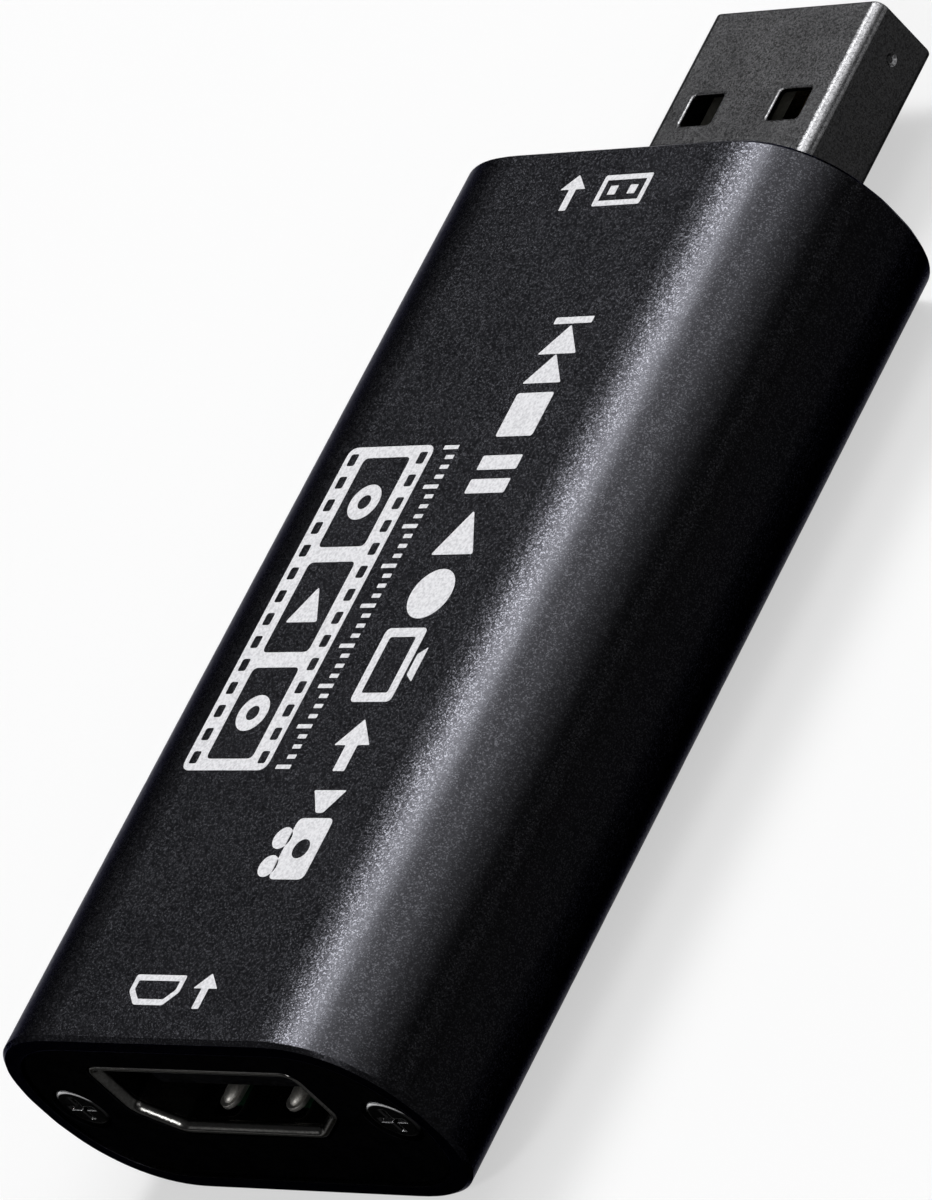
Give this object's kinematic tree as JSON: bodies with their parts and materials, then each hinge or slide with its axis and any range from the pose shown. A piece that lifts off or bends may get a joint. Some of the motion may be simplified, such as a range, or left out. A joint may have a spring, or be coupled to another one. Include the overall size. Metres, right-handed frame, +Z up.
{
  "type": "video capture box",
  "caption": "Stick-shaped video capture box: an extruded metal sleeve with a video cable socket in one end and a flat data plug standing out of the other.",
  "frame": {"origin": "on the surface that the box lies on, under the middle of its whole length, plug included", "axes": "+Y along the box towards the plug, +Z up out of the flat top, +X across it to the right when looking along +Y into the socket"},
  "size_m": [0.0284, 0.0658, 0.0129],
  "materials": {
    "black_anodised": "fine satin, blasted and anodised",
    "end_plate_black": "fine matt",
    "screw_steel": "black nickel",
    "board_laminate": "solder mask",
    "socket_steel": "nickel plated",
    "moulding_black": "moulded",
    "contact_gold": "gold plated",
    "plug_steel": "nickel plated",
    "chip_black": "moulded",
    "tinned_lead": "tinned",
    "pale_ceramic": "sintered",
    "capacitor_tan": "sintered",
    "ferrite_grey": "sintered",
    "finger_steel": "nickel plated"
  },
  "bodies": {
    "box": {"housing": "black_anodised", "input_end_plate": "end_plate_black", "output_end_plate": "end_plate_black", "input_plate_screws": "screw_steel", "output_plate_screws": "screw_steel", "circuit_board": "board_laminate", "video_socket_shell": "socket_steel", "video_socket_insulator": "moulding_black", "video_socket_contacts_upper": "contact_gold", "video_socket_contacts_lower": "contact_gold", "data_plug_shell": "plug_steel", "data_plug_insulator": "moulding_black", "data_plug_contacts": "contact_gold", "capture_chip": "chip_black", "capture_chip_pads": "tinned_lead", "memory_chip": "chip_black", "memory_chip_leads": "tinned_lead", "voltage_regulators": "chip_black", "regulator_leads": "tinned_lead", "clock_crystal_base": "pale_ceramic", "clock_crystal_lid": "tinned_lead", "surge_protectors": "chip_black", "bulk_capacitors": "capacitor_tan", "small_capacitors": "capacitor_tan", "small_resistors": "chip_black", "ferrite_beads": "ferrite_grey"},
    "floor_spring_left": {"floor_spring_left": "finger_steel"},
    "floor_spring_right": {"floor_spring_right": "finger_steel"},
    "roof_spring_left": {"roof_spring_left": "finger_steel"},
    "roof_spring_right": {"roof_spring_right": "finger_steel"}
  },
  "joints": [
    {"name": "floor_spring_left_flex", "type": "hinge", "parent": "box", "child": "floor_spring_left", "pos_m": [-0.00237, -0.0263, 0.00505], "axis": [1, 0, 0], "range_deg": [0, 2.5], "stiffness_Nm_per_rad": 0.15},
    {"name": "floor_spring_right_flex", "type": "hinge", "parent": "box", "child": "floor_spring_right", "pos_m": [0.00237, -0.0263, 0.00505], "axis": [1, 0, 0], "range_deg": [0, 2.5], "stiffness_Nm_per_rad": 0.15},
    {"name": "roof_spring_left_flex", "type": "hinge", "parent": "box", "child": "roof_spring_left", "pos_m": [-0.00237, -0.0263, 0.0099], "axis": [-1, 0, 0], "range_deg": [0, 2.5], "stiffness_Nm_per_rad": 0.15},
    {"name": "roof_spring_right_flex", "type": "hinge", "parent": "box", "child": "roof_spring_right", "pos_m": [0.00237, -0.0263, 0.0099], "axis": [-1, 0, 0], "range_deg": [0, 2.5], "stiffness_Nm_per_rad": 0.15}
  ]
}
